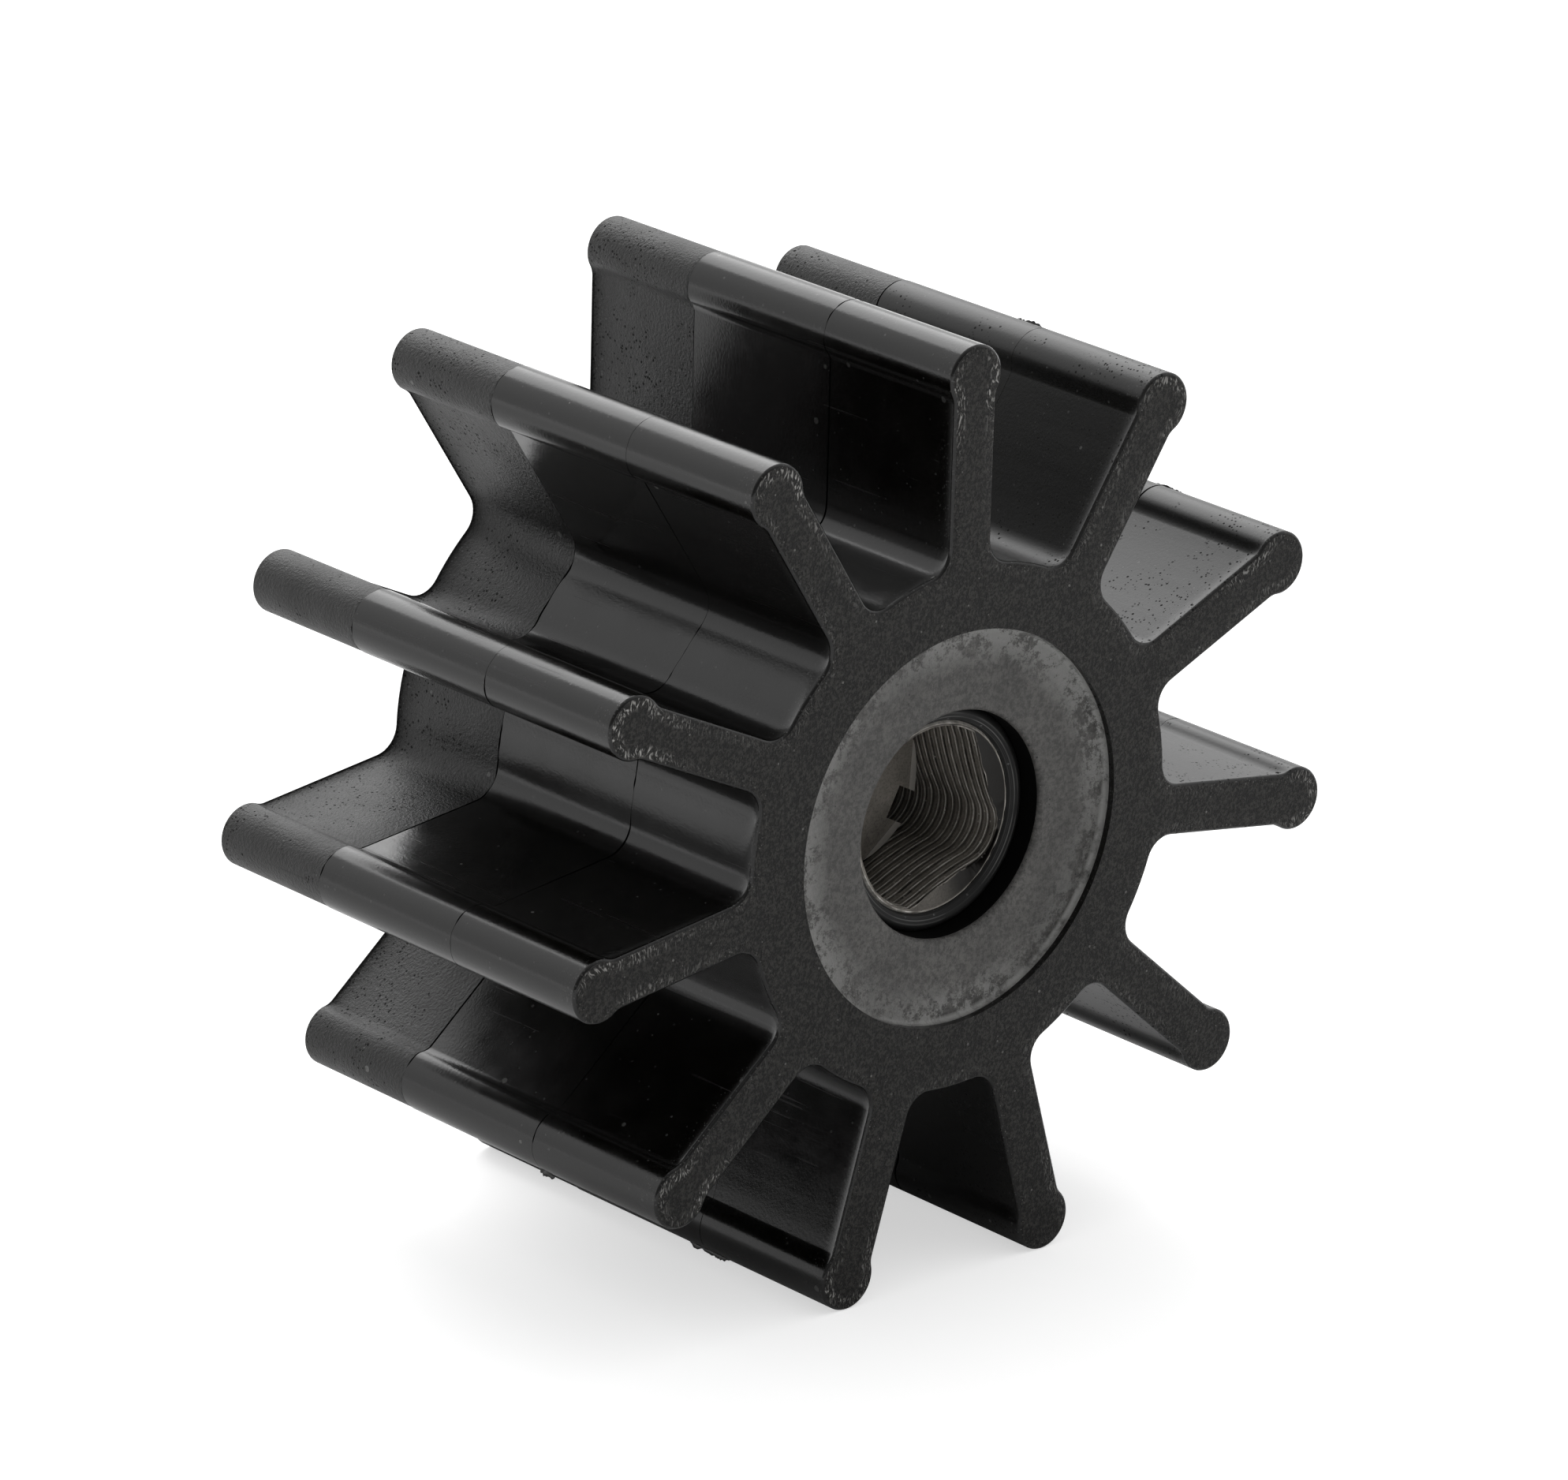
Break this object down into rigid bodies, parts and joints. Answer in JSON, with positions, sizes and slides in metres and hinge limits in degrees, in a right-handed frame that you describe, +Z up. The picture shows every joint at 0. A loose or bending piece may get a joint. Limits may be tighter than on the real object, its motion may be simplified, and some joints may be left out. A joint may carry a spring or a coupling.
{
  "type": "pump impeller",
  "caption": "Flexible rubber pump impeller with straight beaded blades on a round hub, a hub sleeve and a ridged drive socket with two flats.",
  "frame": {"origin": "on the axis, half way along the hub", "axes": "+Y along the axis towards the rear end, +Z up, front end facing -Y; the two lowest blades straddle -Z"},
  "size_m": [0.0566, 0.0318, 0.0561],
  "materials": {
    "impeller_rubber": "satin moulded",
    "hub_sleeve": "matte, worn rim",
    "drive_bush": "dull, fine ridges",
    "seal_rubber": "smooth satin"
  },
  "bodies": {
    "root": {"impeller_rubber": "impeller_rubber", "hub_sleeve": "hub_sleeve", "drive_bush": "drive_bush", "front_o_ring": "seal_rubber", "rear_o_ring": "seal_rubber"}
  },
  "joints": []
}
